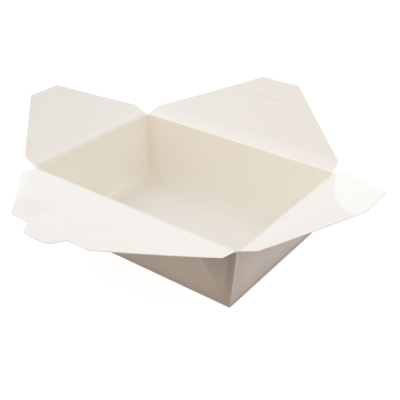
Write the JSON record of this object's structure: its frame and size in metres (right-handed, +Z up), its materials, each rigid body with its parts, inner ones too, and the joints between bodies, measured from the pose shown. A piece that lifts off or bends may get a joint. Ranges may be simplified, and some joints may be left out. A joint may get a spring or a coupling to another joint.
{
  "type": "takeout food box",
  "caption": "Open folded paperboard takeout box: flared tray with doubled web corners and lid flaps that fold shut, with a rounded tab and a slit to lock them.",
  "frame": {"origin": "middle of the underside of the base", "axes": "+X along the box's long side, towards the right end wall. +Y across the box, from the front wall to the back wall. +Z up. The front flap carries the lock tab"},
  "size_m": [0.3563, 0.3449, 0.1005],
  "materials": {
    "tray_card": "smooth white paperboard, satin",
    "flap_card": "smooth white paperboard, satin"
  },
  "bodies": {
    "tray": {"tray": "tray_card"},
    "front_flap": {"front_flap": "flap_card"},
    "back_flap": {"back_flap": "flap_card"},
    "left_flap": {"left_flap": "flap_card"},
    "right_flap": {"right_flap": "flap_card"}
  },
  "joints": [
    {"name": "front_flap_crease", "type": "hinge", "parent": "tray", "child": "front_flap", "pos_m": [0, -0.07925, 0.064], "axis": [-1, 0, 0], "range_deg": [-34.8, 166.9]},
    {"name": "back_flap_crease", "type": "hinge", "parent": "tray", "child": "back_flap", "pos_m": [0, 0.07925, 0.064], "axis": [1, 0, 0], "range_deg": [-45, 158.3]},
    {"name": "left_flap_crease", "type": "hinge", "parent": "tray", "child": "left_flap", "pos_m": [-0.10762, 0, 0.0631], "axis": [0, 1, 0], "range_deg": [-49, 156]},
    {"name": "right_flap_crease", "type": "hinge", "parent": "tray", "child": "right_flap", "pos_m": [0.10762, 0, 0.0631], "axis": [0, -1, 0], "range_deg": [-47.5, 157.5]}
  ]
}
